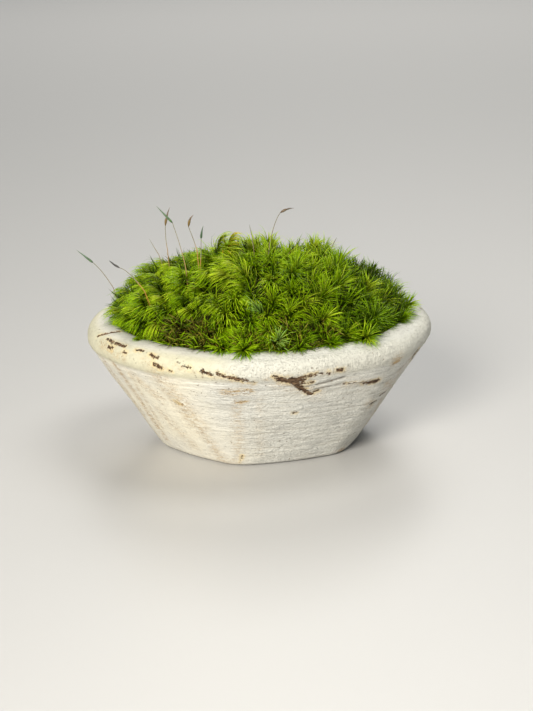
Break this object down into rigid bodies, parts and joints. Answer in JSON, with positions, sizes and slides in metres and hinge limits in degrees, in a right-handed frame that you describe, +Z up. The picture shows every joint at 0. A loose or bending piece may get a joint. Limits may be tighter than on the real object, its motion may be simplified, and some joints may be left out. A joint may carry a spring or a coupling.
{
  "type": "moss clump",
  "caption": "Domed cushion of soft, curly-leaved fork moss with thin spore stalks, growing in a low, round, hand-carved wooden bowl with chipped white paint.",
  "frame": {"origin": "centre of the bowl's flat underside, on the table", "axes": "+Z up out of the bowl, -Y toward the front of the bowl, +X toward its right side as seen from the front"},
  "size_m": [0.1544, 0.1477, 0.107],
  "materials": {
    "bowl_paint": "matte",
    "peat": "matte",
    "moss_leaf": "satin",
    "stalk": "satin",
    "capsule": "satin",
    "hood": "satin"
  },
  "bodies": {
    "root": {"bowl": "bowl_paint", "capsule_01": "capsule", "capsule_02": "capsule", "capsule_04": "capsule", "capsule_05": "capsule", "capsule_06": "capsule", "capsule_07": "capsule", "capsule_09": "capsule", "growing_medium": "peat", "hood_01": "hood", "hood_02": "hood", "hood_04": "hood", "hood_05": "hood", "hood_06": "hood", "hood_07": "hood", "hood_09": "hood", "moss_cushion": "moss_leaf", "stalk_01": "stalk", "stalk_02": "stalk", "stalk_03": "stalk", "stalk_04": "stalk", "stalk_05": "stalk", "stalk_06": "stalk", "stalk_07": "stalk", "stalk_08": "stalk", "stalk_09": "stalk", "stalk_10": "stalk"}
  },
  "joints": []
}
